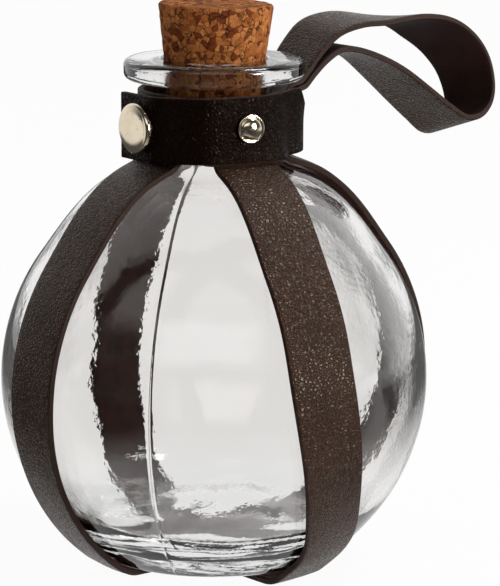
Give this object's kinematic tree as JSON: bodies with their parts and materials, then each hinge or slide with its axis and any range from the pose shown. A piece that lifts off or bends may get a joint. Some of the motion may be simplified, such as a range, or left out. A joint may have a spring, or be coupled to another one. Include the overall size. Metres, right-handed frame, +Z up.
{
  "type": "potion bottle",
  "caption": "Round clear glass bottle with a flat lip and a tapered cork, held in a riveted leather harness with a snap collar and a carrying loop.",
  "frame": {"origin": "on the bottle's axis, where the underside of the lower strap rests on the ground", "axes": "+Z up along the bottle's axis, -Y towards the collar's snap, +Y towards the carrying loop"},
  "size_m": [0.1, 0.1281, 0.1272],
  "materials": {
    "glass": "clear moulded glass, fire polished",
    "cork": "pressed cork granules, uncoated",
    "leather": "dark brown pebbled grain, raw brown edges",
    "nickel": "bright nickel plate"
  },
  "bodies": {
    "harness": {"glass_bottle": "glass", "cradle_strap": "leather", "cross_strap": "leather", "neck_collar": "leather", "loop_tail_inner": "leather", "loop_tail_outer": "leather", "snap_stud": "nickel", "snap_post": "nickel", "rivet_right_cap": "nickel", "rivet_right_post": "nickel", "rivet_left_cap": "nickel", "rivet_left_post": "nickel", "rivet_back_cap": "nickel", "rivet_back_post": "nickel"},
    "flap": {"collar_flap": "leather", "snap_cap": "nickel", "snap_socket": "nickel"},
    "loop": {"carry_loop": "leather"},
    "cork": {"cork_stopper": "cork"}
  },
  "joints": [
    {"name": "cork_pull", "type": "slide", "parent": "harness", "child": "cork", "axis": [0.0145, 0.0196, 0.9997], "range_m": [0, 0.03]},
    {"name": "flap_swing", "type": "hinge", "parent": "harness", "child": "flap", "pos_m": [0.01299, -0.01345, 0.1009], "axis": [0, 0, 1], "range_deg": [0, 120]},
    {"name": "loop_swing", "type": "hinge", "parent": "harness", "child": "loop", "pos_m": [0, 0.02232, 0.11066], "axis": [1, 0, 0], "range_deg": [-35, 40]}
  ]
}
